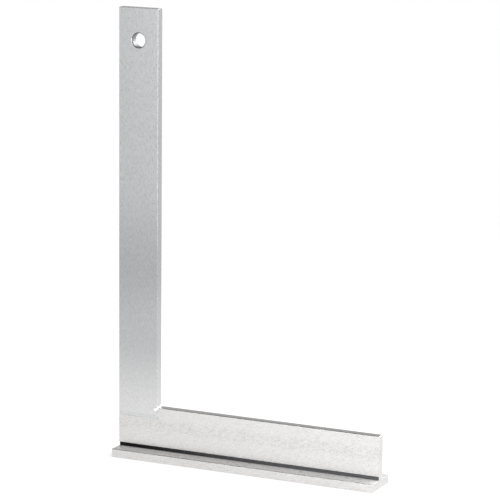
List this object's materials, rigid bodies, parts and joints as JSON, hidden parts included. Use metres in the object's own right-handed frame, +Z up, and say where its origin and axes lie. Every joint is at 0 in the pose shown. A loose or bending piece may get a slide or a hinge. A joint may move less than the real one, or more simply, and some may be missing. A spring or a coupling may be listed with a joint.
{
  "type": "back square",
  "caption": "Steel right-angle back square: a flat bar welded upright on the heel of a short leg that carries a wide stop plate, with a hanging hole near the top end.",
  "frame": {"origin": "middle of the stop plate's underside, which is the bottom centre of the whole square", "axes": "+Z up the long leg, +X along the short leg from the heel to its free end, Y across the thickness of the legs"},
  "size_m": [0.16, 0.0226, 0.2548],
  "materials": {
    "ground_long_leg": "bright zinc-plated steel, ground along the leg to a fine satin",
    "ground_short_leg": "bright zinc-plated steel, ground along the leg, with a slightly coarser mottled middle",
    "ground_stop_plate": "bright zinc-plated steel, ground along the plate",
    "ground_weld": "weld seam ground level with the faces and plated over"
  },
  "bodies": {
    "root": {"long_leg": "ground_long_leg", "short_leg": "ground_short_leg", "stop_plate": "ground_stop_plate", "weld_seam_front": "ground_weld", "weld_seam_rear": "ground_weld"}
  },
  "joints": []
}
